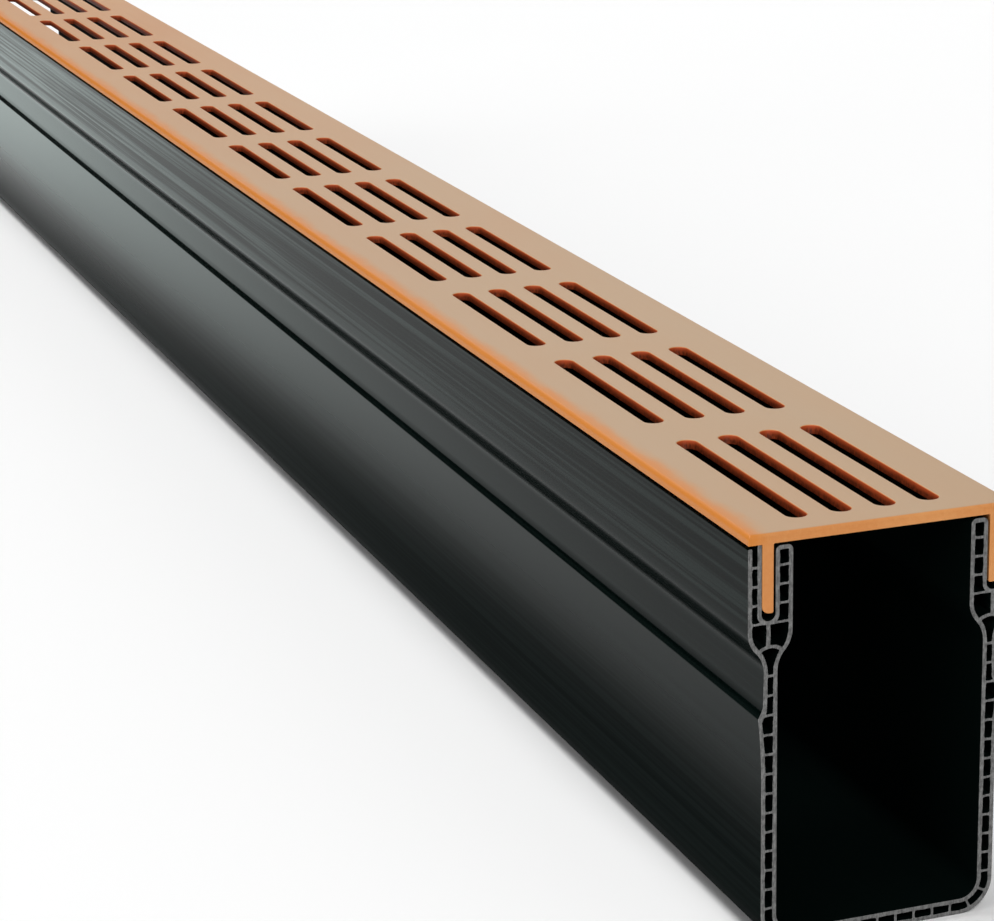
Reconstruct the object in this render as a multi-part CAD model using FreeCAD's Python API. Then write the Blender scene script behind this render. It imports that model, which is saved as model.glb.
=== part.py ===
"""Channel drain, 1 m length: a twin-wall plastic channel with a slotted grate that sits in its two grooves.

Frame, millimetres: X runs along the drain, Y across it, Z up. The origin is at the middle of the underside.
Each piece has one cross-section, drawn for the +Y side, mirrored, and carried along X.
"""
import FreeCAD, Part
import math
import os

# ---- driving sizes, millimetres -------------------------------------------------------------------

# both pieces
length = 1000.0  # sawn length of the channel and of the grate
rim_width = 66.0  # over the upper walls, and over the grate's plate, which lies flush with them

# channel body
channel_height = 97.6  # underside of the floor to the rims that the grate rests on
body_width = 59.2  # over the outer faces below the neck
wall = 3.85  # twin wall of sides and floor, face to face
skin = 1.0  # each of the two skins of a twin wall, and the groove's lining
web = 0.6  # thin webs that tie the skins together
web_pitch = 4.72  # spacing of the webs along the middle of the wall, as near as whole cells allow
corner_radius = 8.4  # outside of the bottom corners

# the upper wall, which forks round the groove
outer_prong = 3.3  # twin wall outside the groove
inner_prong = 4.2  # twin wall inside the groove
inner_prong_drop = 0.6  # top of the inner prong below the rim
inner_prong_round = 1.3  # rounding along the top of the inner prong
shadow_gap = 0.7  # the outermost skin stops this far below the grate's plate
prong_web_pitch = 4.45  # spacing of the webs in both prongs
neck_gap = 2.5  # groove's lowest point down to the start of the neck
neck_height = 9.6  # height over which the fork narrows to the wall
waist = 0.5  # the outer face is this much further in at the foot of the neck than at the ledge
fork_web = 1.0  # upright web that carries the groove's lining
top_web_drop = 0.9  # foot of the neck down to the wall's topmost web
arch = 0.8  # arched web across the neck
arch_radius = 4.65  # middle line of the arch
arch_crown = 1.2  # middle line of the arch at its crown, above the middle of the neck

# the ledge that runs along the outside of the wall
ledge_below_neck = 9.9  # foot of the neck down to the top of the ledge
ledge_step = 0.85  # how far the ledge stands out
ledge_slope = 0.7  # height of its sloping top
ledge_taper = 8.8  # length of the taper that runs back into the wall below it

# slotted grate
plate = 2.4  # thickness of the plate
plate_edge_round = 2.0  # rounding along the plate's two long upper edges
plate_end_round = 1.2  # rounding of the plate's upper edge at each sawn end
leg = 2.8  # thickness of each leg
leg_depth = 16.2  # underside of the plate to the foot of a leg
leg_foot_round = 1.8  # rounding of the foot on its outer side, which guides the leg into the groove
leg_outer_gap = 0.1  # leg to the outer wall of the groove
leg_inner_gap = 0.5  # leg to the inner wall of the groove
leg_foot_gap = 0.1  # foot of the leg to the start of the groove's round bottom

slot_width = 5.0
slot_length = 66.7  # over the full-radius ends
slot_pitch = 83.3  # from one group of slots to the next
slot_end_margin = 8.0  # least metal between the outermost slots and the sawn end
slot_rows = 4
slot_row_pitch = 11.0

# ---- places that follow from the sizes ------------------------------------------------------------

y_rim = rim_width / 2
y_body = body_width / 2
y_groove_outer = y_rim - outer_prong
y_leg_outer = y_groove_outer - leg_outer_gap
y_leg_inner = y_leg_outer - leg
y_groove_inner = y_leg_inner - leg_inner_gap
y_prong_inner = y_groove_inner - inner_prong
y_hollow = y_body - wall

groove_radius = (y_groove_outer - y_groove_inner) / 2
y_groove = y_groove_outer - groove_radius
z_foot = channel_height - leg_depth
z_groove_round = z_foot - leg_foot_gap
z_groove_bottom = z_groove_round - groove_radius
z_neck_top = z_groove_bottom - neck_gap
z_neck_foot = z_neck_top - neck_height
z_neck_middle = (z_neck_top + z_neck_foot) / 2
z_ledge = z_neck_foot - ledge_below_neck
z_inner_prong = channel_height - inner_prong_drop
z_top = channel_height + plate

spare = 5.0  # how far a cutting shape runs past what it cuts


# ---- drawing in the cross-section -----------------------------------------------------------------

def at(y, z):
    """A point of the cross-section, at the drain's -X end."""
    return FreeCAD.Vector(-length / 2, y, z)


def drawn(start, *steps):
    """A flat face whose edge runs from start and back to it. A step is a point, reached by a straight
    line, or a pair (centre, point), reached by the shorter arc about that centre."""
    edges, here = [], start
    for step in steps + (start,):
        if isinstance(step, tuple):
            centre, there = step
            outward = (here - centre) + (there - centre)
            middle = centre + outward.normalize() * (here - centre).Length
            edges.append(Part.Arc(here, middle, there).toShape())
        else:
            there = step
            edges.append(Part.makeLine(here, there))
        here = there
    return Part.Face(Part.Wire(edges))


def block(y_low, y_high, z_low, z_high):
    """An upright rectangle between two widths and two heights."""
    return drawn(at(y_low, z_low), at(y_high, z_low), at(y_high, z_high), at(y_low, z_high))


def disc(y, z, radius):
    """A round face centred at y, z."""
    return Part.Face(Part.Wire(Part.makeCircle(radius, at(y, z), FreeCAD.Vector(1, 0, 0))))


def strip(y, z, along_y, along_z, thickness):
    """A thin rectangle centred at y, z that runs as far as (along_y, along_z) each way from there."""
    along = FreeCAD.Vector(0, along_y, along_z)
    across = FreeCAD.Vector(0, -along_z, along_y).normalize() * (thickness / 2)
    start, end = at(y, z) - along, at(y, z) + along
    return drawn(start - across, end - across, end + across, start + across)


def s_bend(y_foot, y_top, shift):
    """Steps up the neck, upright at both ends: two equal arcs that meet half way, moved sideways by
    shift as parallel curves, so that a skin keeps its thickness round the bend."""
    side = math.copysign(1, y_top - y_foot)
    radius = ((y_top - y_foot) ** 2 + neck_height ** 2) / (4 * abs(y_top - y_foot))
    low_centre = at(y_foot + side * radius, z_neck_foot)
    high_centre = at(y_top - side * radius, z_neck_top)
    low_share = (radius - side * shift) / (2 * radius)
    meeting = low_centre + (high_centre - low_centre) * low_share
    foot, top = at(y_foot + shift, z_neck_foot), at(y_top + shift, z_neck_top)
    return [foot, (low_centre, meeting), (high_centre, top)]


# ---- channel body ---------------------------------------------------------------------------------

def envelope(inset):
    """The +Y half of the space inside the channel's outer faces, moved inwards by inset."""
    corner_centre = at(y_body - corner_radius, corner_radius)
    top = channel_height
    return drawn(
        at(0, inset),
        at(y_body - corner_radius, inset),
        (corner_centre, at(y_body - inset, corner_radius)),
        at(y_body - inset, z_ledge - ledge_slope - ledge_taper - inset),
        at(y_body + ledge_step - inset, z_ledge - ledge_slope - inset),
        at(y_body - inset, z_ledge - inset),
        *s_bend(y_body - waist, y_rim, -inset),
        at(y_rim - inset, top),
        at(0, top),
    )


def hollow(outset):
    """The +Y half of the water channel, open at the top, moved outwards into the wall by outset."""
    corner_centre = at(y_body - corner_radius, corner_radius)
    top = channel_height + spare
    return drawn(
        at(0, wall - outset),
        at(y_body - corner_radius, wall - outset),
        (corner_centre, at(y_hollow + outset, corner_radius)),
        *s_bend(y_hollow, y_prong_inner, outset),
        at(y_prong_inner + outset, top),
        at(0, top),
    )


def groove(outset):
    """The groove that takes the grate's leg, with a half-round bottom, moved outwards by outset."""
    radius = groove_radius + outset
    centre = at(y_groove, z_groove_round)
    top = channel_height + spare
    return drawn(
        at(y_groove + radius, top),
        at(y_groove + radius, z_groove_round),
        (centre, at(y_groove, z_groove_round - radius)),
        (centre, at(y_groove - radius, z_groove_round)),
        at(y_groove - radius, top),
    )


def wall_webs():
    """Webs square to the wall, evenly spaced along its middle line, from the middle of the floor round
    the bottom corner and up the side to the neck."""
    middle = wall / 2
    bend_radius = corner_radius - middle
    floor_run = y_body - corner_radius
    bend_run = bend_radius * math.pi / 2
    side_run = z_neck_foot - top_web_drop - corner_radius
    run = floor_run + bend_run + side_run
    count = round(run / web_pitch)
    webs = []
    for i in range(count + 1):
        s = run * i / count
        if s < floor_run:
            webs.append(strip(s, middle, 0, wall, web))
        elif s < floor_run + bend_run:
            turn = (s - floor_run) / bend_radius
            out_y, out_z = math.sin(turn), -math.cos(turn)
            y = floor_run + bend_radius * out_y
            z = corner_radius + bend_radius * out_z
            webs.append(strip(y, z, wall * out_y, wall * out_z, web))
        else:
            z = corner_radius + s - floor_run - bend_run
            webs.append(strip(y_body - middle, z, wall, 0, web))
    return webs


def prong_webs():
    """Level webs across both prongs. The lowest one meets the lining at the bottom of the groove."""
    z_lowest = z_groove_bottom - skin / 2
    count = int((channel_height - z_lowest) / prong_web_pitch)
    levels = [z_lowest + i * prong_web_pitch for i in range(count)]
    return [block(y_prong_inner, y_rim, z - web / 2, z + web / 2) for z in levels]


def neck_webs():
    """The arched web across the neck, and the upright web that stands on it under the groove."""
    y_arch = (y_rim + y_body - waist + y_prong_inner + y_hollow) / 4
    z_arch = z_neck_middle + arch_crown - arch_radius
    upper, lower = disc(y_arch, z_arch, arch_radius + arch / 2), disc(y_arch, z_arch, arch_radius - arch / 2)
    below = block(0, rim_width, z_arch - 2 * arch_radius, z_neck_middle - arch)
    upright = block(y_groove - fork_web / 2, y_groove + fork_web / 2, z_neck_middle, z_groove_bottom)
    return [upper.cut([lower, below]), upright.cut(disc(y_arch, z_arch, arch_radius))]


def cells():
    """The long air cells inside the twin walls of the +Y half, as flat faces."""
    inner_prong_cap = block(y_prong_inner, y_groove, z_inner_prong - skin, channel_height)
    walls = [hollow(skin), groove(skin), inner_prong_cap]
    return envelope(skin).cut(walls + wall_webs() + prong_webs() + neck_webs())


def whole(half_section):
    """The solid that a section's +Y half stands for: carried along the length, mirrored and joined."""
    half = half_section.extrude(FreeCAD.Vector(length, 0, 0))
    other = half.mirror(at(0, 0), FreeCAD.Vector(0, 1, 0))
    return half.fuse(other).removeSplitter().Solids[0]


def channel_section():
    """The +Y half of the channel's cross-section."""
    above = channel_height + spare
    shadow_line = block(y_rim - skin, y_rim + spare, channel_height - shadow_gap, above)
    above_inner_prong = block(y_prong_inner - spare, y_groove, z_inner_prong, above)
    return envelope(0).cut([hollow(0), groove(0), cells(), shadow_line, above_inner_prong])


def lengthwise_edges(shape, *places):
    """The edges along X whose distance from the middle plane and height are one of the given places."""
    found = []
    for edge in shape.Edges:
        middle = edge.BoundBox.Center
        is_lengthwise = edge.BoundBox.XLength > length - spare
        if is_lengthwise and any(math.hypot(abs(middle.y) - y, middle.z - z) < 1e-4 for y, z in places):
            found.append(edge)
    return found


def channel_body():
    """The channel, one twin-wall extrusion."""
    body = whole(channel_section())
    tops = lengthwise_edges(body, (y_prong_inner, z_inner_prong), (y_groove_inner, z_inner_prong))
    return body.makeFillet(inner_prong_round, tops)


# ---- slotted grate --------------------------------------------------------------------------------

def grate_section():
    """The +Y half of the grate's cross-section: half the plate, and a leg."""
    edge_round = min(plate_edge_round, 0.9 * plate)
    return drawn(
        at(0, channel_height),
        at(y_leg_inner, channel_height),
        at(y_leg_inner, z_foot),
        at(y_leg_outer - leg_foot_round, z_foot),
        (at(y_leg_outer - leg_foot_round, z_foot + leg_foot_round), at(y_leg_outer, z_foot + leg_foot_round)),
        at(y_leg_outer, channel_height),
        at(y_rim, channel_height),
        at(y_rim, z_top - edge_round),
        (at(y_rim - edge_round, z_top - edge_round), at(y_rim - edge_round, z_top)),
        at(0, z_top),
    )


def slot(x, y):
    """One slot through the plate, centred at x, y, with full-radius ends."""
    radius = slot_width / 2
    reach = slot_length / 2 - radius
    z_low = channel_height - spare
    height = plate + 2 * spare
    ends = [Part.makeCylinder(radius, height, FreeCAD.Vector(x + side * reach, y, z_low)) for side in (-1, 1)]
    middle = Part.makeBox(2 * reach, slot_width, height, FreeCAD.Vector(x - reach, y - radius, z_low))
    return middle.fuse(ends).removeSplitter()


def slots():
    """All the slots, in groups side by side, with as many groups as the length takes."""
    groups = 1 + int((length - 2 * slot_end_margin - slot_length) / slot_pitch)
    first_x = -(groups - 1) * slot_pitch / 2
    first_y = -(slot_rows - 1) * slot_row_pitch / 2
    return [
        slot(first_x + group * slot_pitch, first_y + row * slot_row_pitch)
        for group in range(groups)
        for row in range(slot_rows)
    ]


def end_rounding():
    """A box as long and as high as the grate, whose upper edge is rounded at both ends."""
    box = Part.makeBox(length, 2 * rim_width, z_top, FreeCAD.Vector(-length / 2, -rim_width, 0))
    upper_ends = [
        edge for edge in box.Edges
        if edge.BoundBox.YLength > rim_width and edge.BoundBox.ZMin > z_top - 1e-4
    ]
    return box.makeFillet(min(plate_end_round, 0.9 * plate), upper_ends)


def slotted_grate():
    """The grate, one piece: plate and legs with the slots cut through the plate."""
    return whole(grate_section()).common(end_rounding()).cut(slots())


def main():
    os.makedirs("parts", exist_ok=True)
    channel_body().exportStep("parts/channel_body.step")
    slotted_grate().exportStep("parts/slotted_grate.step")


main()
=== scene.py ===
import math

import bpy
import numpy as np
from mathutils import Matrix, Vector
from mathutils.geometry import delaunay_2d_cdt


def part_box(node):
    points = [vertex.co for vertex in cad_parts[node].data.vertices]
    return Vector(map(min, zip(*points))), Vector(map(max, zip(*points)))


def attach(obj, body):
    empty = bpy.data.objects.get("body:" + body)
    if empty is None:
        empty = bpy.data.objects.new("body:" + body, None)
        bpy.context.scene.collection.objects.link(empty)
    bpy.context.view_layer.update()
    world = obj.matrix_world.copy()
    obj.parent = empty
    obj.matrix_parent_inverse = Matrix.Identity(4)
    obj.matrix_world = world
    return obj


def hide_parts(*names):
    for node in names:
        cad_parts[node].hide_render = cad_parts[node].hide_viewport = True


bl_info = {
    "name": "Channel drain",
    "version": (1, 0, 0),
    "blender": (4, 5, 0),
    "location": "3D View > Sidebar > Channel drain",
    "description": "Twin-wall channel and slotted grate around the packed drain, with a studio to show them",
    "category": "Object",
}

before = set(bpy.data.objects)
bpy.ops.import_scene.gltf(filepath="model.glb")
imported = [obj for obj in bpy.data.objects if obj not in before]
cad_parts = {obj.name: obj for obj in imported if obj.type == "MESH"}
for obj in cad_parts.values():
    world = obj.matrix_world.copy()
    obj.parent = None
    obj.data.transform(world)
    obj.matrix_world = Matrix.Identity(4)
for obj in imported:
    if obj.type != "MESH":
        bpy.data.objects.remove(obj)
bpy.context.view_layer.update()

MM = 0.001

# ---- the drain's cross-section, millimetres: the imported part's, with a softer ledge and plate edge ---

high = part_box("channel_body")[1]
half_length = round(high.x / MM, 3)
rim = round(high.y / MM, 3)
channel_height = 97.6
body = 29.6
wall = 3.85
skin = 1.0
web = 0.6
web_pitch = 4.72
corner_radius = 8.4
outer_prong = 3.3
inner_prong = 4.2
inner_prong_drop = 0.6
inner_prong_round = 1.3
shadow_gap = 0.7  # the outermost skin stops this far below the plate
prong_web_pitch = 4.45
neck_gap = 2.5  # the groove's lowest point down to the neck
neck_height = 9.6
waist = 0.5
fork_web = 1.0
top_web_drop = 0.9
arch = 0.8
arch_radius = 4.65
arch_crown = 1.2  # above the middle of the neck
ledge_below_neck = 8.6
ledge_step = 0.85  # how far the ledge stands out
ledge_flare = 1.2  # how much further in its slope begins
ledge_drop = 2.4  # height of its slope
ledge_round = 5.0
ledge_taper = 8.4  # length of the taper below it
taper_round = 150.0  # the taper runs out into the wall over this radius
taper_skin_round = 120.0  # and the skin's inner face over this one
waist_round = 6.0

plate_top = round(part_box("slotted_grate")[1].z / MM, 3)
plate_edge_round = 1.3
plate_end_round = 1.2
leg = 2.8
leg_depth = 16.2
leg_foot_round = 1.8
leg_outer_gap = 0.1
leg_inner_gap = 0.5
leg_foot_gap = 0.1

leg_outer = rim - outer_prong - leg_outer_gap
leg_inner = leg_outer - leg
leg_foot = channel_height - leg_depth
groove_outer = rim - outer_prong
groove_inner = leg_inner - leg_inner_gap
prong_inner = groove_inner - inner_prong
hollow = body - wall
groove_radius = (groove_outer - groove_inner) / 2
groove_middle = groove_outer - groove_radius
groove_round = leg_foot - leg_foot_gap
groove_bottom = groove_round - groove_radius
inner_prong_top = channel_height - inner_prong_drop
outer_skin_top = channel_height - shadow_gap
neck_top = groove_bottom - neck_gap
neck_foot = neck_top - neck_height
waist_z = neck_foot - 0.2
ledge = neck_foot - ledge_below_neck
ledge_edge = ledge - ledge_drop
ledge_y = body + ledge_step - ledge_flare
top_web = neck_foot - top_web_drop
arch_y = (rim + body - waist + prong_inner + hollow) / 4
arch_z = (neck_top + neck_foot) / 2 + arch_crown - arch_radius
lining = groove_radius + skin


# ---- sizes and colours a user would change ---------------------------------------------------------

def size_mm(name, description, default):
    """A length setting, given in millimetres and kept in metres."""
    return bpy.props.FloatProperty(
        name=name, description=description, default=default * MM, min=0.0, precision=5, unit="LENGTH")


def colour(name, description, default):
    """A colour setting, in linear light."""
    return bpy.props.FloatVectorProperty(
        name=name, description=description, default=default, size=3, min=0.0, max=1.0, subtype="COLOR")


def brightness(name, default):
    """How much a lamp adds to the light on a level floor; 1 makes a white floor white."""
    return bpy.props.FloatProperty(
        name=name, description=name + ", on a level floor", default=default, min=0.0)


class ChannelSettings(bpy.types.PropertyGroup):
    """The twin-wall channel's finer sizes and its colours."""
    cell_round: size_mm("Cell rounding", "Rounding in the corners of the air cells", 0.32)
    tip_round: size_mm("Tip rounding", "Rounding of the skins' upper ends and of the ledge", 0.25)
    unevenness: size_mm("Unevenness", "How far the air cells wander from their drawn shape", 0.07)
    saw_edge: size_mm("Saw edge", "Broken edge round the sawn ends", 0.1)
    plastic: colour("Plastic", "The channel's black plastic", (0.0004, 0.0024, 0.002))
    bloom: colour("Bloom", "Paler film that lies along the extruded faces", (0.028, 0.041, 0.038))
    cut: colour("Saw cut", "The plastic where the saw has torn it", (0.13, 0.13, 0.128))


class GrateSettings(bpy.types.PropertyGroup):
    """The slotted grate's slots, edges and colours."""
    slot_width: size_mm("Slot width", "Width of each slot", 5.0)
    slot_length: size_mm("Slot length", "Length of each slot over its round ends", 66.7)
    slot_pitch: size_mm("Slot pitch", "From one group of slots to the next", 83.3)
    slot_row_pitch: size_mm("Row pitch", "From one row of slots to the next", 11.0)
    slot_rows: bpy.props.IntProperty(name="Rows", description="Rows of slots", default=4, min=1)
    slot_groups: bpy.props.IntProperty(name="Groups", description="Slots in a row", default=12, min=1)
    rim_round: size_mm("Rim rounding", "Rounding of each slot's upper rim", 0.4)
    under_round: size_mm("Lower rim rounding", "Rounding of each slot's lower rim", 0.15)
    saw_edge: size_mm("Saw edge", "Broken edge round the sawn ends", 0.12)
    finish: colour("Finish", "The copper-coloured finish", (0.62, 0.27, 0.085))
    deep: colour("Deep finish", "The finish where it lies thicker", (0.56, 0.205, 0.05))
    # painted shade: this deeper orange is laid on the -Y long edge only
    edge: colour("Edge", "The finish along the long edge", (0.6, 0.19, 0.015))
    # painted sheen: this pale colour stands in for the sheen on the grate's top
    film_and_sheen: colour("Film", "The dull pale film on the top", (0.45, 0.312, 0.193))
    # painted shade: the slot walls' dark red-brown stands in for the shade inside the slots
    painted_slot_shade: colour("Slot walls", "The finish inside the slots", (0.2, 0.032, 0.008))


class StageSettings(bpy.types.PropertyGroup):
    """The floor, the light and the camera."""
    floor: colour("Floor", "The pale floor", (0.935, 0.935, 0.935))
    key: brightness("Key light", 0.38)
    front: brightness("Front light", 0.36)
    back: brightness("Back light", 0.035)
    side: brightness("Side light", 0.09)
    overhead: brightness("Overhead light", 0.2)
    sky: brightness("Light from all round", 0.02)
    lens: bpy.props.FloatProperty(
        name="Lens", description="Focal length on a 36 mm sensor, mm", default=113.0246)
    camera_at: bpy.props.FloatVectorProperty(
        name="Camera place", description="Where the camera stands", default=(1.09589, -0.30134, 0.31361),
        subtype="TRANSLATION", unit="LENGTH")
    camera_turn: bpy.props.FloatVectorProperty(
        name="Camera turn", description="How the camera is turned",
        default=[math.radians(a) for a in (73.33141, 1.15221, 70.22447)], subtype="EULER", unit="ROTATION")


# ---- lines in the cross-section --------------------------------------------------------------------

arc_steps = 16
run_shares = np.array([0.0, 0.25, 0.5, 0.75, 1.0])
run_end = 0.3


def unit(vectors):
    """Each vector divided by its length."""
    return vectors / np.linalg.norm(vectors, axis=-1, keepdims=True)


def without_repeats(points):
    """The points of an open line, less those that repeat the one before."""
    step = np.linalg.norm(np.diff(points, axis=0), axis=1)
    return points[np.concatenate([[True], step > 1e-4])]


def runs(start, end):
    """Straight runs from start to end: a point 0.3 mm from each end, so that the rounding beside it
    doesn't shade the run, and three evenly between those two."""
    length = np.linalg.norm(end - start, axis=-1, keepdims=True)
    margin = np.minimum(run_end / np.maximum(length, 1e-9), 0.2)
    share = margin + (1 - 2 * margin) * run_shares
    return start[:, None] + (end - start)[:, None] * share[..., None]


def rounded(corners):
    """An open line of straight runs joined by tangent arcs; corners has rows of y, z and radius.
    An arc begins radius * tan(turn / 2) before its corner, its centre lies on the bisector at
    radius / cos(turn / 2) from the corner, and its points share out the turn evenly."""
    corners = np.asarray(corners, float)
    point, radius = corners[:, :2], corners[1:-1, 2:]
    before, after = unit(point[:-2] - point[1:-1]), unit(point[2:] - point[1:-1])
    turn = np.pi - np.arccos(np.clip((before * after).sum(1, keepdims=True), -1, 1))
    start = point[1:-1] + before * radius * np.tan(turn / 2)
    end = point[1:-1] + after * radius * np.tan(turn / 2)
    centre = point[1:-1] + unit(before + after) * radius / np.cos(turn / 2)
    share = np.linspace(0, 1, arc_steps + 1)[None, :, None]
    turn = turn[:, None]
    from_start = np.sin((1 - share) * turn) * (start - centre)[:, None]
    from_end = np.sin(share * turn) * (end - centre)[:, None]
    arcs = centre[:, None] + (from_start + from_end) / np.sin(turn)
    straight = runs(np.concatenate([point[:1], arcs[:, -1]]), np.concatenate([arcs[:, 0], point[-1:]]))
    inner = np.concatenate([straight[:-1], arcs], axis=1).reshape(-1, 2)
    return without_repeats(np.concatenate([point[:1], inner, straight[-1], point[-1:]]))


def s_bend(y_foot, y_top, shift):
    """Two corners that make the neck's S of two equal arcs, upright at both ends, moved sideways by
    shift as parallel curves. With d across and h up, the radius is (d^2 + h^2) / 4d before the shift."""
    across = abs(y_top - y_foot)
    side = math.copysign(1, y_top - y_foot)
    radius = (across ** 2 + neck_height ** 2) / (4 * across)
    half_turn = math.tan(math.asin(neck_height / 2 / radius) / 2)
    low_radius, high_radius = radius - side * shift, radius + side * shift
    return [
        (y_foot + shift, neck_foot + low_radius * half_turn, low_radius),
        (y_top + shift, neck_top - high_radius * half_turn, high_radius),
    ]


def channel_outline(tip_round):
    """The +Y half of the channel's outline, from the middle of the underside, up the outside, round
    both prongs and the groove between them, and down the inside to the middle of the floor."""
    open_cell = groove_bottom - skin / 2 + 3 * prong_web_pitch + web / 2
    return rounded([
        (0, 0, 0),
        (body, 0, corner_radius),
        (body, ledge_edge - ledge_taper, taper_round),
        (body + ledge_step, ledge_edge, 2 * tip_round),
        (ledge_y, ledge, ledge_round),
        (body - waist, waist_z, waist_round),
        *s_bend(body - waist, rim, 0),
        (rim, outer_skin_top, tip_round),
        (rim - skin, outer_skin_top, tip_round),
        (rim - skin, open_cell, tip_round),
        (groove_outer + skin, open_cell, tip_round),
        (groove_outer + skin, channel_height, tip_round),
        (groove_outer, channel_height, tip_round),
        (groove_outer, groove_bottom, groove_radius),
        (groove_inner, groove_bottom, groove_radius),
        (groove_inner, inner_prong_top, inner_prong_round),
        (prong_inner, inner_prong_top, inner_prong_round),
        *s_bend(hollow, prong_inner, 0)[::-1],
        (hollow, wall, corner_radius - wall),
        (0, wall, 0),
    ])


def mirrored(half):
    """The closed outline that a +Y half and its mirror image make."""
    other = half[::-1] * (-1, 1)
    loop = without_repeats(np.concatenate([half, other]))
    return loop[:-1] if np.allclose(loop[0], loop[-1], atol=1e-4) else loop


# ---- air cells in the twin walls -------------------------------------------------------------------

def rounded_square(width, height, radius):
    """A unit square, run round clockwise from its lower corner, whose corners are rounded as the
    corners of a width by height rectangle would be by radius."""
    w, h = width / 2, height / 2
    corners = [(-w, -h, radius), (-w, h, radius), (w, h, radius), (w, -h, radius)]
    path = rounded([(0, -h, 0), *corners, (0, -h, 0)])
    return path[:-1] / (width, height) + 0.5


outer_skin_line = rounded([
    (body - skin, corner_radius, 0),
    (body - skin, ledge_edge - ledge_taper - skin, taper_skin_round),
    (body + ledge_step - skin, ledge_edge - skin, 0.6),
    (ledge_y - skin, ledge - skin / 2, 2.0),
    (body - waist - skin, waist_z, waist_round),
    *s_bend(body - waist, rim, -skin),
    (rim - skin, channel_height, 0),
])
inner_skin_line = rounded([
    (hollow + skin, corner_radius, 0),
    *s_bend(hollow, prong_inner, skin),
    (prong_inner + skin, channel_height, 0),
])


def outer_skin(z):
    """Inner face of the outer skin, at height z."""
    return np.interp(z, outer_skin_line[:, 1], outer_skin_line[:, 0])


def inner_skin(z):
    """Inner face of the skin towards the water, at height z."""
    return np.interp(z, inner_skin_line[:, 1], inner_skin_line[:, 0])


def lining_at(z, side):
    """Outer face of the groove's lining at height z, on the side towards the rim (1) or the water (-1)."""
    drop = np.clip(groove_round - z, 0, lining)
    return groove_middle + side * np.sqrt(lining ** 2 - drop ** 2)


def wall_cells(cell_round):
    """The cells of the floor, the bottom corner and the side, on the +Y half. A cell is a rounded
    rectangle drawn along and across the wall's middle line, and bent round the corner with it."""
    middle = wall / 2
    bend_radius = corner_radius - middle
    floor_run = body - corner_radius
    bend_run = bend_radius * np.pi / 2
    run = floor_run + bend_run + top_web - corner_radius
    count = round(run / web_pitch)
    cells = []
    for i in range(count):
        u, v = rounded_square(wall - 2 * skin, run / count - web, cell_round).T
        along = run * i / count + web / 2 + v * (run / count - web)
        turn = np.clip((along - floor_run) / bend_radius, 0, np.pi / 2)
        rise = np.maximum(along - floor_run - bend_run, 0)
        y_middle = np.minimum(along, floor_run) + bend_radius * np.sin(turn)
        z_middle = corner_radius - bend_radius * np.cos(turn) + rise
        inner = skin - middle
        outer = np.where(rise > 0, outer_skin(z_middle) - y_middle, middle - skin)
        across = inner + (outer - inner) * u
        cells.append(np.stack([y_middle + across * np.sin(turn), z_middle - across * np.cos(turn)], axis=1))
    return cells


middle_rounds = 6  # until a cell's middle has settled
outline_rounds = 40  # until its outline has


def upright_cell(left, right, bottom, top, cell_round):
    """A cell between two upright lines y(z) and two level lines z(y): a rounded rectangle whose
    points settle at y = left + (right - left) u and z = bottom + (top - bottom) v."""
    y = np.array((left(neck_top) + right(neck_top)) / 2)
    z = np.array((bottom(y) + top(y)) / 2)
    for _ in range(middle_rounds):
        y = (left(z) + right(z)) / 2
        z = (bottom(y) + top(y)) / 2
    u, v = rounded_square(right(z) - left(z), top(y) - bottom(y), cell_round).T
    y, z = y + 0 * u, z + 0 * u
    for _ in range(outline_rounds):
        y = left(z) + (right(z) - left(z)) * u
        z = bottom(y) + (top(y) - bottom(y)) * v
    return np.stack([y, z], axis=1)


def level(value):
    """A line that stays at one value."""
    return lambda at: value + 0 * np.asarray(at)


def arch_at(radius):
    """Height of the arched web's face with that radius."""
    return lambda y: arch_z + np.sqrt(np.maximum(radius ** 2 - (y - arch_y) ** 2, 1e-6))


def neck_cells(cell_round):
    """The three cells of the neck: one under the arch, and one on each side of the upright web."""
    over, under = arch_at(arch_radius + arch / 2), arch_at(arch_radius - arch / 2)
    lowest_web = level(groove_bottom - skin / 2 - web / 2)
    return [
        upright_cell(inner_skin, outer_skin, level(top_web + web / 2), under, cell_round),
        upright_cell(inner_skin, level(groove_middle - fork_web / 2), over, lowest_web, cell_round),
        upright_cell(level(groove_middle + fork_web / 2), outer_skin, over, lowest_web, cell_round),
    ]


def prong_cells(cell_round):
    """The cells of the two prongs, between their level webs."""
    webs = groove_bottom - skin / 2 + prong_web_pitch * np.arange(4)
    floors, ceilings = webs + web / 2, np.append(webs[1:] - web / 2, inner_prong_top - skin)
    cells = []
    for floor, ceiling in zip(floors, ceilings):
        inner = [inner_skin, lambda z: lining_at(z, -1)]
        cells.append(upright_cell(*inner, level(floor), level(ceiling), cell_round))
    for floor, ceiling in zip(floors[:3], ceilings[:3]):
        outer = [lambda z: lining_at(z, 1), outer_skin]
        cells.append(upright_cell(*outer, level(floor), level(ceiling), cell_round))
    return cells


def wander(points, amount):
    """Moves points by a smooth field of sines across the section, so that no two cells are alike."""
    y, z = points[:, :1], points[:, 1:]
    shift_y = np.sin(1.31 * z + 0.83 * y) + 0.6 * np.sin(2.9 * z - 2.1 * y + 1.0)
    shift_z = np.sin(1.13 * y - 1.57 * z + 2.0) + 0.6 * np.sin(3.1 * y + 2.3 * z)
    return points + amount / 1.6 * np.concatenate([shift_y, shift_z], axis=1)


# ---- meshes ----------------------------------------------------------------------------------------

crease = 32  # degrees
merge_steps = 1e4  # per millimetre; points that round to the same step are one
channel_stations = 25


def into_material(loop, distance):
    """A closed loop moved by distance towards its left, where the material is."""
    along = unit(np.roll(loop, -1, 0) - np.roll(loop, 1, 0))
    return loop + distance * np.stack([-along[:, 1], along[:, 0]], axis=1)


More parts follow.
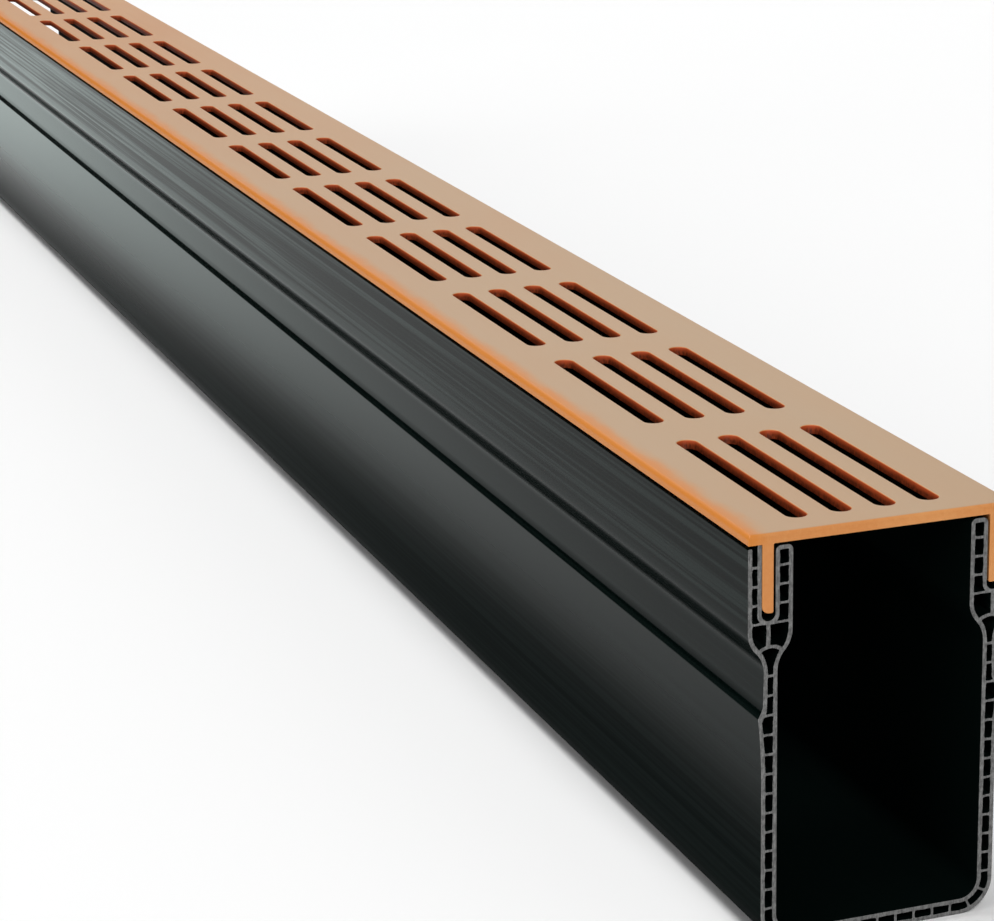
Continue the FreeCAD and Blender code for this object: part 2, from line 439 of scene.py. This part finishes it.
def strips(rows, columns, closed, first=0):
    """Quads over a grid of rows by columns of points, numbered row by row from first."""
    row = np.arange(rows - 1)[:, None] * columns
    column = np.arange(columns if closed else columns - 1)
    after = (column + 1) % columns
    quads = np.stack([row + column, row + after, row + columns + after, row + columns + column], axis=-1)
    return quads.reshape(-1, 4) + first


def fill(loops):
    """Triangles, as rows of point numbers, that fill the first closed loop less the others. The first
    runs counter-clockwise and the others clockwise, so a triangle with all its points on one loop is
    wanted only if it turns counter-clockwise when they are taken in the loop's order."""
    points = np.concatenate(loops)
    sizes = np.array([len(loop) for loop in loops])
    owner = np.repeat(np.arange(len(loops)), sizes)
    number = np.arange(len(points))
    last = np.cumsum(sizes) - 1
    after = number + 1
    after[last] = last - sizes + 1
    made = delaunay_2d_cdt(points.tolist(), np.stack([number, after], axis=1).tolist(), [], 0, 1e-7)
    source = np.array([given[0] for given in made[3]])
    triangles = np.sort(source[np.array(made[2])], axis=1)
    a, b, c = (points[triangles[:, k]] for k in range(3))
    area = (b[:, 0] - a[:, 0]) * (c[:, 1] - a[:, 1]) - (b[:, 1] - a[:, 1]) * (c[:, 0] - a[:, 0])
    of_one_loop = (owner[triangles] == owner[triangles[:, :1]]).all(axis=1)
    triangles[area < 0] = triangles[area < 0][:, ::-1]
    return triangles[~of_one_loop | (area > 0)]


def new_piece(name, points, faces, materials, finish_of_face):
    """A mesh object from points in millimetres. Points that coincide are merged, and edges that turn
    by more than the crease angle stay sharp."""
    steps = np.round(points * merge_steps)
    _, first, number = np.unique(steps, axis=0, return_index=True, return_inverse=True)
    number = number.ravel()
    polygons = [row for block in faces for row in number[block].tolist()]
    mesh = bpy.data.meshes.new(name)
    mesh.from_pydata((points[first] * MM).tolist(), [], polygons)
    mesh.polygons.foreach_set("material_index", np.concatenate(finish_of_face).astype(np.int32))
    mesh.shade_smooth()
    mesh.set_sharp_from_angle(angle=math.radians(crease))
    mesh.validate()
    for material in materials:
        mesh.materials.append(material)
    piece = bpy.data.objects.new(name, mesh)
    bpy.context.scene.collection.objects.link(piece)
    return piece


def in_plane_x(loop, x):
    """Points of the cross-section placed at x."""
    return np.column_stack([np.full(len(loop), x), loop])


def channel_mesh(settings):
    """The channel: its outline and its air cells carried along X, and both sawn ends filled."""
    cell_round, tip_round = settings.cell_round / MM, settings.tip_round / MM
    saw_edge = settings.saw_edge / MM
    half_cells = wall_cells(cell_round) + neck_cells(cell_round) + prong_cells(cell_round)
    cells = half_cells + [cell[::-1] * (-1, 1) for cell in half_cells]
    loops = [mirrored(channel_outline(tip_round))]
    loops += [wander(cell, settings.unevenness / MM) for cell in cells]
    ends = [into_material(loop, saw_edge) for loop in loops]
    inside = half_length - saw_edge
    points, faces, finishes, first = [], [], [], 0
    near_ring, far_ring = [], []
    for i, (loop, end) in enumerate(zip(loops, ends)):
        stations = np.linspace(-inside, inside, channel_stations if i == 0 else 2)
        rings = [in_plane_x(end, -half_length)]
        rings += [in_plane_x(loop, x) for x in stations]
        rings += [in_plane_x(end, half_length)]
        points += rings
        quads = strips(len(rings), len(loop), True, first)
        finish = np.zeros((len(rings) - 1, len(loop)), int)
        finish[0] = finish[-1] = 1
        faces.append(quads)
        finishes.append(finish.ravel())
        number = first + np.arange(len(loop))
        far_ring.append(number)
        near_ring.append(number + (len(rings) - 1) * len(loop))
        first += len(rings) * len(loop)
    triangles = fill(ends)
    near, far = np.concatenate(near_ring)[triangles], np.concatenate(far_ring)[triangles][:, ::-1]
    faces += [near, far]
    finishes += [np.ones(len(near), int), np.ones(len(far), int)]
    return np.concatenate(points), faces, finishes


# ---- grate -----------------------------------------------------------------------------------------

panel_half_width = 21.5
panel_half_length = half_length - 4.0
grate_stations = 41
slot_steps = 14  # in each half circle of a slot
slot_runs = 8  # in each of its straight sides
rim_steps = 5  # in the rounding of its rims
end_steps = 8  # in the rounding of the plate's ends
rim_support = 0.25


def slot_ring(reach, radius):
    """A slot's outline about its centre, counter-clockwise: two half circles reach apart from it,
    joined by straight runs."""
    angle = np.linspace(-np.pi / 2, np.pi / 2, slot_steps + 1)
    cap = np.stack([reach + radius * np.cos(angle), radius * np.sin(angle)], axis=1)
    along = np.linspace(reach, -reach, slot_runs + 1)[1:-1]
    run = np.stack([along, np.full(len(along), radius)], axis=1)
    half = np.concatenate([cap, run])
    return np.concatenate([half, -half])


def slot_profile(settings):
    """How a slot's wall goes down through the plate: rows of outward offset and height. Both rims are
    quarter circles, and a narrow flat ring round each keeps their shading off the plate."""
    rim_round, under_round = settings.rim_round / MM, settings.under_round / MM
    quarter = np.linspace(0, np.pi / 2, rim_steps + 1)
    sine, cosine = 1 - np.sin(quarter), 1 - np.cos(quarter)
    upper = np.stack([rim_round * sine, plate_top - rim_round * cosine], axis=1)
    lower = np.stack([under_round * cosine, channel_height + under_round * sine], axis=1)
    support_up = [(rim_round + rim_support, plate_top)]
    support_down = [(under_round + rim_support, channel_height)]
    wall_rings = [(0, plate_top - rim_round - run_end), (0, channel_height + under_round + run_end)]
    return np.concatenate([support_up, upper, wall_rings, lower, support_down])


def slot_centres(settings):
    """The middles of all the slots."""
    group = np.arange(settings.slot_groups) - (settings.slot_groups - 1) / 2
    row = np.arange(settings.slot_rows) - (settings.slot_rows - 1) / 2
    x, y = np.meshgrid(group * settings.slot_pitch / MM, row * settings.slot_row_pitch / MM, indexing="ij")
    return np.stack([x.ravel(), y.ravel()], axis=1)


def grate_side(settings):
    """The +Y side of the grate's section, from the slotted panel's underside, round the leg and the
    plate's edge, to the panel's top."""
    return rounded([
        (panel_half_width, channel_height, 0),
        (leg_inner, channel_height, 0.3),
        (leg_inner, leg_foot, 0.45),
        (leg_outer, leg_foot, leg_foot_round),
        (leg_outer, channel_height, 0.2),
        (rim, channel_height, 0.25),
        (rim, plate_top, plate_edge_round),
        (panel_half_width, plate_top, 0),
    ])


def grate_mesh(settings):
    """The grate: its sides carried along X, the panel between them filled round the slots, each
    slot's wall, and both sawn ends, where the top comes down in a quarter circle."""
    side = grate_side(settings)
    section = np.concatenate([side, side[::-1] * (-1, 1)])
    saw_edge = settings.saw_edge / MM
    points, faces, finishes = [], [], []

    def add(block, quads, finish=0):
        faces.append(quads + sum(len(p) for p in points))
        finishes.append(np.zeros(len(quads), int) + finish)
        points.append(block)

    stations = np.linspace(-panel_half_length, panel_half_length, grate_stations)
    for part in (side, side[::-1] * (-1, 1)):
        add(np.concatenate([in_plane_x(part, x) for x in stations]), strips(len(stations), len(part), False))

    quarter = np.linspace(0, 1, end_steps + 1) * np.arcsin(1 - saw_edge / plate_end_round)
    x_round = half_length - plate_end_round * (1 - np.sin(quarter))
    ceiling = plate_top - plate_end_round * (1 - np.cos(quarter))
    x_rings = np.concatenate([[panel_half_length, half_length - plate_end_round - run_end], x_round])
    ceilings = np.concatenate([[plate_top, plate_top], ceiling])
    rings = [np.column_stack([section[:, 0], np.minimum(section[:, 1], c)]) for c in ceilings]
    last = into_material(section, saw_edge)
    last[:, 1] = np.minimum(last[:, 1], plate_top - plate_end_round)
    x_rings = np.append(x_rings, half_length)
    rings.append(last)
    near = np.concatenate([in_plane_x(ring, x) for ring, x in zip(rings, x_rings)])
    far = np.concatenate([in_plane_x(ring, -x) for ring, x in zip(rings, x_rings)])
    quads = strips(len(rings), len(section), True)
    cap = fill([last])
    add(near, quads)
    add(in_plane_x(last, half_length), cap)
    add(far, quads[:, ::-1])
    add(in_plane_x(last, -half_length), cap[:, ::-1])

    profile = slot_profile(settings)
    radius = settings.slot_width / MM / 2
    reach = settings.slot_length / MM / 2 - radius
    rings = [slot_ring(reach, radius + out) for out in profile[:, 0]]
    heights = [np.full(len(rings[0]), z) for z in profile[:, 1]]
    one_slot = np.stack([np.column_stack(pair) for pair in zip(rings, heights)])
    centres = slot_centres(settings)
    centre_points = np.column_stack([centres, np.zeros(len(centres))])
    all_slots = centre_points[:, None, None] + one_slot[None]
    levels, around = one_slot.shape[:2]
    quads = strips(levels, around, True)
    every = (np.arange(len(centres)) * levels * around)[:, None, None] + quads[None]
    strip = np.arange(len(quads)) // around
    wall_strips = (strip >= rim_steps - 1) & (strip < levels - 1)
    add(all_slots.reshape(-1, 3), every.reshape(-1, 4), np.tile(wall_strips, len(centres)))

    edge = np.column_stack([stations, np.full(len(stations), -panel_half_width)])
    outline = np.concatenate([edge, -edge])
    for ring, height, order in ((0, plate_top, 1), (-1, channel_height, -1)):
        loops = [outline] + [loop[::-1] for loop in all_slots[:, ring, :, :2]]
        block = np.column_stack([np.concatenate(loops), np.full(sum(map(len, loops)), height)])
        add(block, fill(loops)[:, ::order])
    return np.concatenate(points), faces, finishes


# ---- shader maths ----------------------------------------------------------------------------------

class Socket:
    """A value in a material. Sums, differences, products and powers of values add Math nodes."""

    def __init__(self, finish, socket):
        self.finish, self.socket = finish, socket

    def maths(self, operation, *values):
        """Adds a Math node."""
        return self.finish.node("ShaderNodeMath", {"operation": operation}, dict(enumerate(values)))

    def __add__(self, other):
        return self.maths("ADD", self, other)

    __radd__ = __add__

    def __sub__(self, other):
        return self.maths("SUBTRACT", self, other)

    def __rsub__(self, other):
        return self.maths("SUBTRACT", other, self)

    def __mul__(self, other):
        return self.maths("MULTIPLY", self, other)

    __rmul__ = __mul__

    def __pow__(self, other):
        return self.maths("POWER", self, other)

    def __abs__(self):
        return self.maths("ABSOLUTE", self)


class Finish:
    """A material being made, node by node."""

    def __init__(self, name):
        self.material = bpy.data.materials.new(name)
        self.material.use_nodes = True
        self.tree = self.material.node_tree
        self.shader = self.tree.nodes["Principled BSDF"]
        self.place = self.node("ShaderNodeTexCoord", {}, {}, "Object")

    def node(self, kind, settings, inputs, output=0):
        """Adds a node: its settings first, then the values or links of its sockets. Gives one output."""
        made = self.tree.nodes.new(kind)
        for name, value in settings.items():
            setattr(made, name, value)
        for key, value in inputs.items():
            self.feed(made.inputs[key], value)
        return Socket(self, made.outputs[output])

    def feed(self, socket, value):
        """Links a value to a socket, or sets a constant on it."""
        if isinstance(value, Socket):
            self.tree.links.new(value.socket, socket)
        else:
            socket.default_value = value

    def stretched(self, scale, offset=(0.0, 0.0, 0.0)):
        """The piece's own coordinates, scaled by three factors."""
        return self.node("ShaderNodeMapping", {}, {"Vector": self.place, "Scale": scale, "Location": offset})

    def noise(self, scale, detail=3.0, roughness=0.5, offset=(0.0, 0.0, 0.0)):
        """Noise between 0 and 1 with its own scale along each axis, per metre."""
        return self.node("ShaderNodeTexNoise", {}, {
            "Vector": self.stretched(scale, offset), "Scale": 1.0, "Detail": detail, "Roughness": roughness})

    def between(self, value, low, high):
        """0 below low and 1 above high, with a smooth passage."""
        return self.node("ShaderNodeMapRange", {"interpolation_type": "SMOOTHSTEP"}, {
            "Value": value, "From Min": low, "From Max": high})

    def axis(self, name):
        """One of the piece's own coordinates, X, Y or Z."""
        return self.node("ShaderNodeSeparateXYZ", {}, {"Vector": self.place}, name)

    def blend(self, share, first, second):
        """A colour between two colours."""
        return self.node("ShaderNodeMix", {"data_type": "RGBA"}, {0: share, 6: first, 7: second}, 2)

    def bump(self, height, strength, distance):
        """A normal from a height field."""
        return self.node("ShaderNodeBump", {}, {"Strength": strength, "Distance": distance, "Height": height})

    def done(self, **sockets):
        """Feeds the shader's sockets, named with underscores for spaces, and gives the material."""
        for name, value in sockets.items():
            self.feed(self.shader.inputs[name.replace("_", " ")], value)
        return self.material


def rgba(colour_setting):
    """A colour setting with full alpha."""
    return (*colour_setting, 1.0)


def extruded_plastic(settings):
    """Black plastic, dull inside and glossy outside, where the gloss grows along the channel and fades in
    the neck's bend and towards the foot. Above the neck fine die lines run along the extrusion, and the
    streaks between them carry more gloss and a paler bloom."""
    finish = Finish("channel_plastic")
    height = finish.axis("Z")
    streaks = finish.noise((3.0, 900.0, 900.0), 4.0, 0.6)
    fine_lines = finish.noise((5.0, 3200.0, 3200.0), 2.0, 0.6, (3.0, 0.0, 7.0))
    patches = finish.noise((7.0, 26.0, 26.0), 3.0, 0.55)
    outward = finish.between(abs(finish.axis("Y")), (hollow + 0.5) * MM, (body - 1) * MM)
    band = outward * finish.between(height, neck_top * MM, (neck_top + 3) * MM)
    bend = finish.between(height, (neck_foot + 0.6) * MM, (neck_foot + 3) * MM)
    bend = bend * finish.between(height, (neck_top - 0.6) * MM, (neck_top - 3) * MM)
    film_and_sheen = finish.between(streaks * 0.85 + patches * 0.15, 0.42, 0.62)
    away = finish.between(finish.axis("X"), 0.45, -0.45)
    foot = finish.between(height + (away * 12 - 4) * MM, ledge * MM, 1.5 * corner_radius * MM)
    matt = bend * 0.85 + foot ** 1.6 * 0.75
    bloomed = film_and_sheen * (band * 0.15 + outward * 0.1)
    return finish.done(
        Base_Color=finish.blend(bloomed, rgba(settings.plastic), rgba(settings.bloom)),
        Roughness=0.8 - outward * (0.7 - 0.04 * patches - 0.1 * band * streaks - matt),
        Specular_IOR_Level=0.021,
        Coat_Weight=outward * (away * 0.8 + 0.12) * (1 - matt) * (1 - band * (0.75 - film_and_sheen)),
        Coat_IOR=1.17,
        Coat_Roughness=0.12,
        Coat_Tint=(0.8, 1.0, 0.96, 1.0),
        Normal=finish.bump(fine_lines * band, 0.2, 0.00003),
    )


def sawn_plastic(settings):
    """The cut ends: torn grey plastic with the saw's slanting marks."""
    finish = Finish("sawn_plastic")
    marks = finish.noise((10.0, 2600.0, 420.0), 3.0, 0.6)
    tear = finish.noise((900.0, 900.0, 900.0), 4.0, 0.6)
    share = finish.between(marks * 0.5 + tear * 0.5, 0.35, 0.68)
    dark = tuple(0.55 * c for c in settings.cut)
    pale = tuple(1.6 * c for c in settings.cut)
    return finish.done(
        Base_Color=finish.blend(share, rgba(dark), rgba(pale)),
        Roughness=0.55 + 0.25 * tear,
        Specular_IOR_Level=0.3,
        Normal=finish.bump(marks * 0.5 + tear * 0.5, 0.5, 0.0001),
    )


def copper_finish(settings):
    """The grate's copper-coloured finish: fine grain, faint lengthwise lines and slow changes of tone.
    A pale painted sheen lies on the top as colour. It thins out in blots towards the -Y long edge and slowly
    towards the far (-X) end of the grate. That long edge alone is painted a deeper orange as shade."""
    finish = Finish("grate_finish")
    grain = finish.noise((2600.0, 2600.0, 2600.0), 2.0, 0.6)
    lines = finish.noise((7.0, 900.0, 900.0), 4.0, 0.55)
    clouds = finish.noise((9.0, 30.0, 30.0), 3.0, 0.5)
    blots = finish.noise((60.0, 160.0, 160.0), 4.0, 0.6)
    tone = finish.between(clouds * 0.5 + lines * 0.3 + grain * 0.2, 0.32, 0.68)
    copper = finish.blend(tone, rgba(settings.deep), rgba(settings.finish))
    on_top = finish.between(finish.axis("Z"), (plate_top - 0.12) * MM, (plate_top - 0.01) * MM)
    from_edge = finish.axis("Y") + (blots - 0.5) * (5 * MM)
    inward = finish.between(from_edge, -(rim - 0.8) * MM, -(rim - 6) * MM)
    plate = finish.between(finish.axis("Z"), (channel_height - 1) * MM, channel_height * MM)
    along = finish.between(finish.axis("X"), -0.75, 0.35)
    # painted shade: only the -Y long edge, up to about 6 mm in from the rim, takes the deeper edge colour,
    # more strongly towards the far end
    painted_shade_edged = finish.blend((1 - inward) * plate * (1.15 - along * 0.45), copper, rgba(settings.edge))
    # painted sheen: the pale colour on the top, fading in blots towards the -Y long edge and towards the -X
    # end
    film_and_sheen = on_top * (inward * 0.95 + 0.05) * (along * 0.65 + 0.35) * (0.9 + 0.3 * (clouds - 0.5))
    return finish.done(
        Base_Color=finish.blend(film_and_sheen, painted_shade_edged, rgba(settings.film_and_sheen)),
        Metallic=0.05,
        Roughness=0.42 + 0.1 * grain + 0.05 * lines,
        Specular_IOR_Level=0.35,
        Normal=finish.bump(grain * 0.6 + lines * 0.4, 0.25, 0.00005),
    )


def slot_wall_painted_shade(settings):
    """The same finish inside the slots, painted a deep red-brown as shade and streaked by the punch; painted
    light makes it brighter in blots towards the upper rim."""
    finish = Finish("slot_wall_painted_shade")
    grain = finish.noise((1800.0, 1800.0, 700.0), 3.0, 0.6)
    blots = finish.noise((160.0, 300.0, 300.0), 3.0, 0.6)
    share = finish.between(grain, 0.35, 0.7)
    dark = tuple(0.5 * c for c in settings.painted_slot_shade)
    pale = tuple(1.5 * c for c in settings.painted_slot_shade)
    painted_rim_light = tuple(2.6 * c for c in settings.painted_slot_shade)
    streaked = finish.blend(share, rgba(dark), rgba(pale))
    # painted light: the wall goes brighter in blots towards the upper rim, where light comes into the slot
    height = finish.axis("Z") + (blots - 0.5) * MM
    upward = finish.between(height, (plate_top - 1.6) * MM, (plate_top - 0.2) * MM)
    return finish.done(
        Base_Color=finish.blend(upward, streaked, rgba(painted_rim_light)),
        Roughness=0.4 + 0.15 * grain,
        Specular_IOR_Level=0.3,
        Normal=finish.bump(grain, 0.3, 0.00005),
    )


def studio_floor(settings):
    """The pale floor, with a trace of unevenness."""
    finish = Finish("studio_floor")
    share = finish.noise((3.0, 3.0, 3.0), 3.0, 0.5)
    dim = tuple(0.985 * c for c in settings.floor)
    return finish.done(
        Base_Color=finish.blend(share, rgba(dim), rgba(settings.floor)),
        Roughness=0.9,
        Specular_IOR_Level=0.1,
    )


# ---- operators -------------------------------------------------------------------------------------

class DRAIN_OT_channel(bpy.types.Operator):
    """Make the twin-wall channel"""
    bl_idname = "drain.channel"
    bl_label = "Make the channel"

    def execute(self, context):
        settings = context.scene.drain_channel
        points, faces, finishes = channel_mesh(settings)
        materials = [extruded_plastic(settings), sawn_plastic(settings)]
        piece = new_piece("twin_wall_channel", points, faces, materials, finishes)
        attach(piece, "root")
        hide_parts("channel_body")
        return {"FINISHED"}


class DRAIN_OT_grate(bpy.types.Operator):
    """Make the slotted grate"""
    bl_idname = "drain.grate"
    bl_label = "Make the grate"

    def execute(self, context):
        settings = context.scene.drain_grate
        points, faces, finishes = grate_mesh(settings)
        materials = [copper_finish(settings), slot_wall_painted_shade(settings)]
        piece = new_piece("copper_grate", points, faces, materials, finishes)
        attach(piece, "root")
        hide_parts("slotted_grate")
        return {"FINISHED"}


floor_reach = 30.0  # metres each way


def soft_sun(name, side, amount, angle):
    """A sun lamp on the side that the vector gives, seen as a disc of angle degrees. It adds the amount
    to the light on a level floor, so its strength is amount * pi over the sine of its height."""
    side = Vector(side).normalized()
    lamp = bpy.data.lights.new(name, "SUN")
    lamp.energy = amount * math.pi / side.z
    lamp.angle = math.radians(angle)
    sun = bpy.data.objects.new(name, lamp)
    sun.rotation_euler = side.to_track_quat("Z", "Y").to_euler()
    bpy.context.scene.collection.objects.link(sun)


class DRAIN_OT_stage(bpy.types.Operator):
    """Make the floor, the light and the camera"""
    bl_idname = "drain.stage"
    bl_label = "Make the stage"

    def execute(self, context):
        settings = context.scene.drain_stage
        scene = context.scene
        mesh = bpy.data.meshes.new("floor")
        corners = [(x * floor_reach, y * floor_reach, 0) for x, y in ((-1, -1), (1, -1), (1, 1), (-1, 1))]
        mesh.from_pydata(corners, [], [(0, 1, 2, 3)])
        mesh.materials.append(studio_floor(settings))
        floor = bpy.data.objects.new("floor", mesh)
        scene.collection.objects.link(floor)

        soft_sun("key", (-0.5, -0.15, 1.0), settings.key, 22)
        soft_sun("front", (1.0, -0.15, 0.85), settings.front, 22)
        soft_sun("back", (-0.87, 0.3, 0.4), settings.back, 30)
        soft_sun("side", (0.2, -1.0, 0.3), settings.side, 40)
        soft_sun("overhead", (0.0, 0.0, 1.0), settings.overhead, 120)
        world = bpy.data.worlds.new("studio")
        scene.world = world
        world.use_nodes = True
        world.node_tree.nodes["Background"].inputs["Color"].default_value = (1, 1, 1, 1)
        world.node_tree.nodes["Background"].inputs["Strength"].default_value = settings.sky

        camera = bpy.data.cameras.new("camera")
        camera.lens = settings.lens
        camera.sensor_width = 36
        camera.clip_start, camera.clip_end = 0.05, 100
        eye = bpy.data.objects.new("camera", camera)
        eye.location = settings.camera_at
        eye.rotation_euler = settings.camera_turn
        scene.collection.objects.link(eye)
        scene.camera = eye
        scene.view_settings.view_transform = "Standard"
        return {"FINISHED"}


class DRAIN_PT_panel(bpy.types.Panel):
    """Settings and makers of the channel drain"""
    bl_idname = "DRAIN_PT_panel"
    bl_label = "Channel drain"
    bl_space_type = "VIEW_3D"
    bl_region_type = "UI"
    bl_category = "Channel drain"

    def draw(self, context):
        for group, operator in parts:
            settings = getattr(context.scene, group)
            box = self.layout.box()
            for name in settings.__annotations__:
                box.prop(settings, name)
            box.operator(operator)


parts = [("drain_channel", "drain.channel"), ("drain_grate", "drain.grate"), ("drain_stage", "drain.stage")]
groups = {"drain_channel": ChannelSettings, "drain_grate": GrateSettings, "drain_stage": StageSettings}
classes = [*groups.values(), DRAIN_OT_channel, DRAIN_OT_grate, DRAIN_OT_stage, DRAIN_PT_panel]


def register():
    for item in classes:
        bpy.utils.register_class(item)
    for name, group in groups.items():
        setattr(bpy.types.Scene, name, bpy.props.PointerProperty(type=group))


def unregister():
    for name in groups:
        delattr(bpy.types.Scene, name)
    for item in reversed(classes):
        bpy.utils.unregister_class(item)


def main():
    register()
    bpy.ops.drain.channel()
    bpy.ops.drain.grate()
    bpy.ops.drain.stage()


if __name__ == "__main__":
    main()
